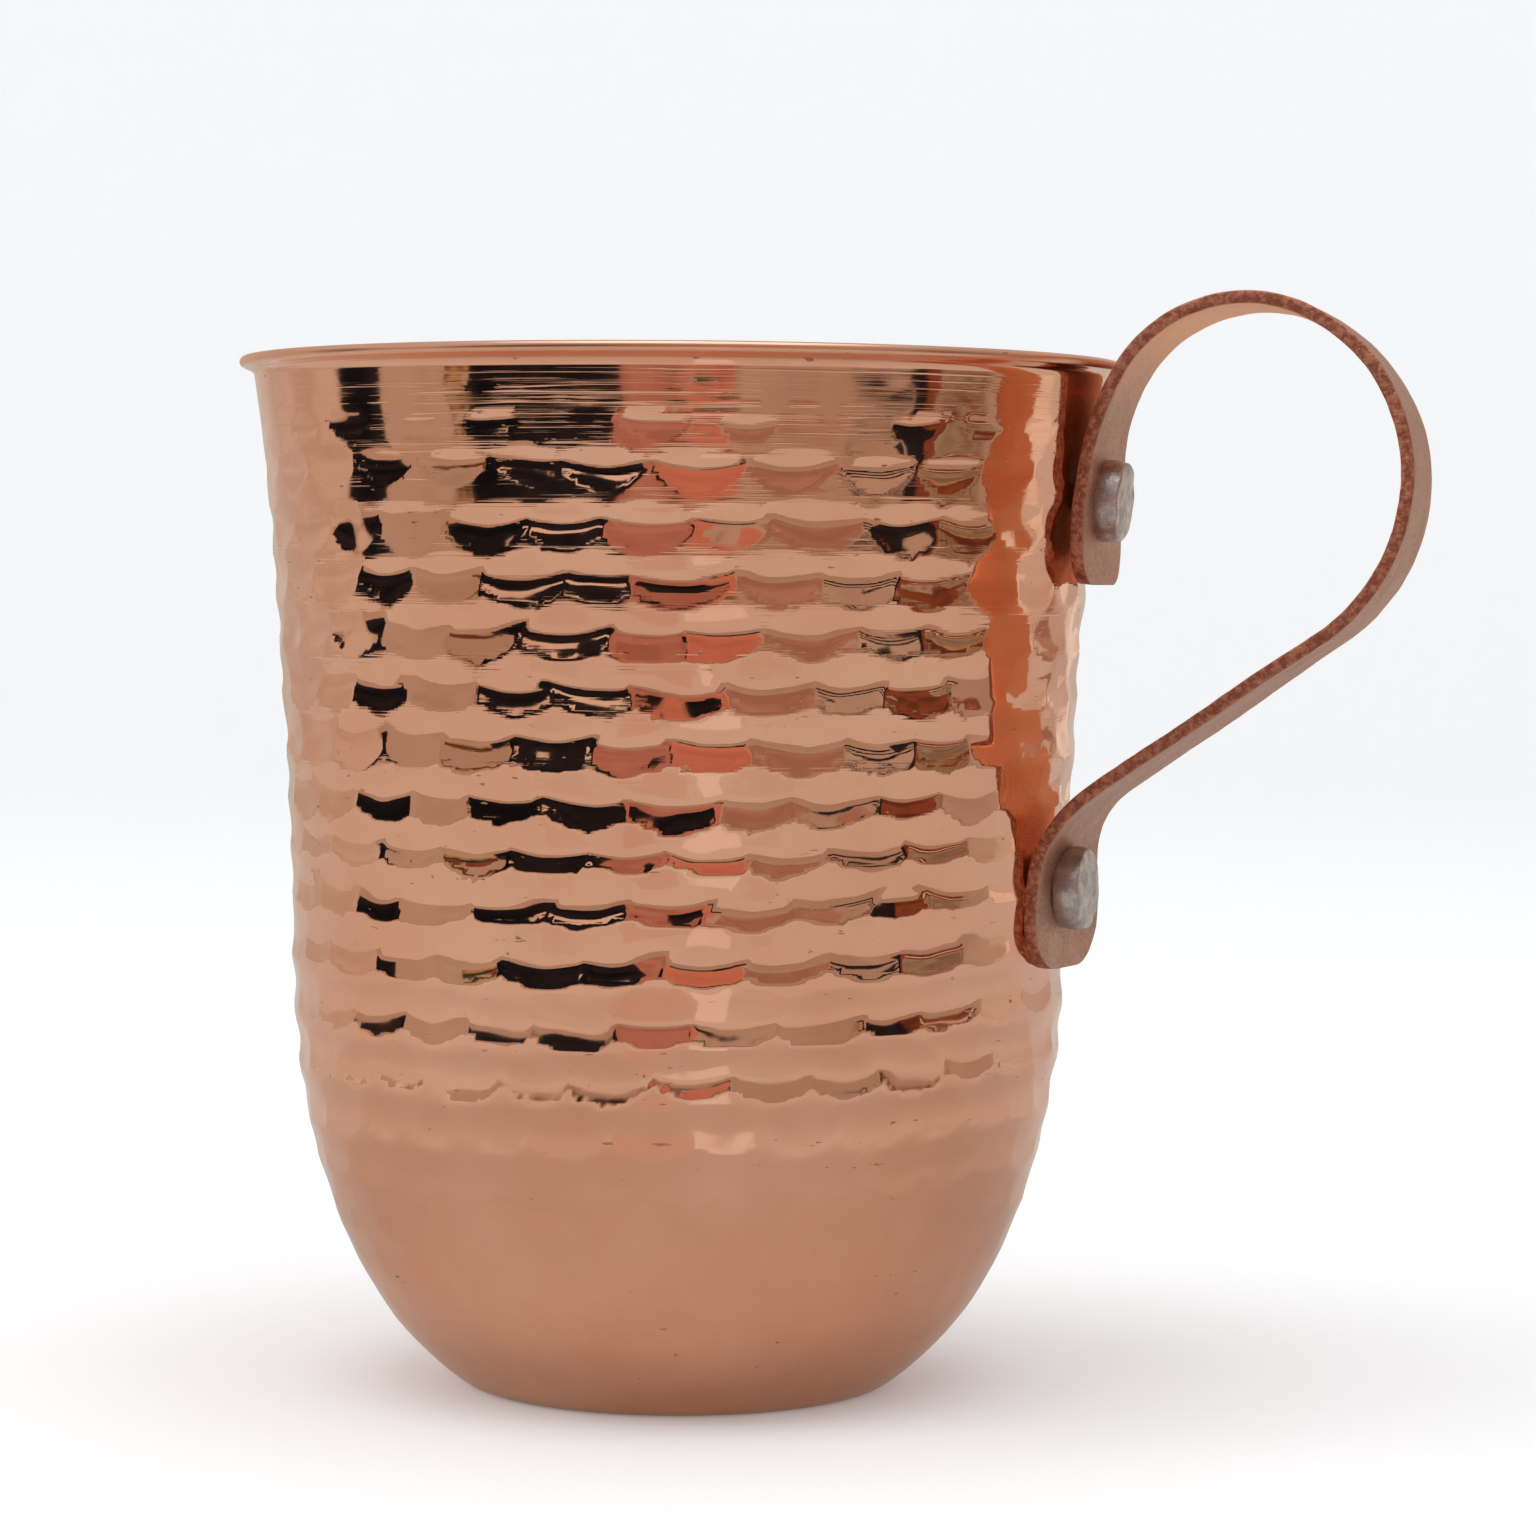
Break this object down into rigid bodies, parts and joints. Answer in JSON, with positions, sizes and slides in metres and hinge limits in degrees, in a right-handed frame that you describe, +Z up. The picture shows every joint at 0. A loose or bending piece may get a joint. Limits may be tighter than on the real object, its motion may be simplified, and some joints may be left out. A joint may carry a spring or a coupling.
{
  "type": "copper mug",
  "caption": "Tall hammered copper mug with a rounded bowl, a flared lip and a riveted strap handle that loops above the rim.",
  "frame": {"origin": "centre of the flat base, on the surface that the mug stands on", "axes": "+Z up along the cup's axis, +X out through the middle of the handle"},
  "size_m": [0.1207, 0.09, 0.111],
  "materials": {
    "polished_copper": "hammered and mirror polished copper, lacquered",
    "matt_copper": "matt unpolished copper strip with rough sheared edges",
    "rivet_aluminium": "hammered aluminium"
  },
  "bodies": {
    "root": {"cup_body": "polished_copper", "handle_strap": "matt_copper", "upper_rivet": "rivet_aluminium", "lower_rivet": "rivet_aluminium"}
  },
  "joints": []
}
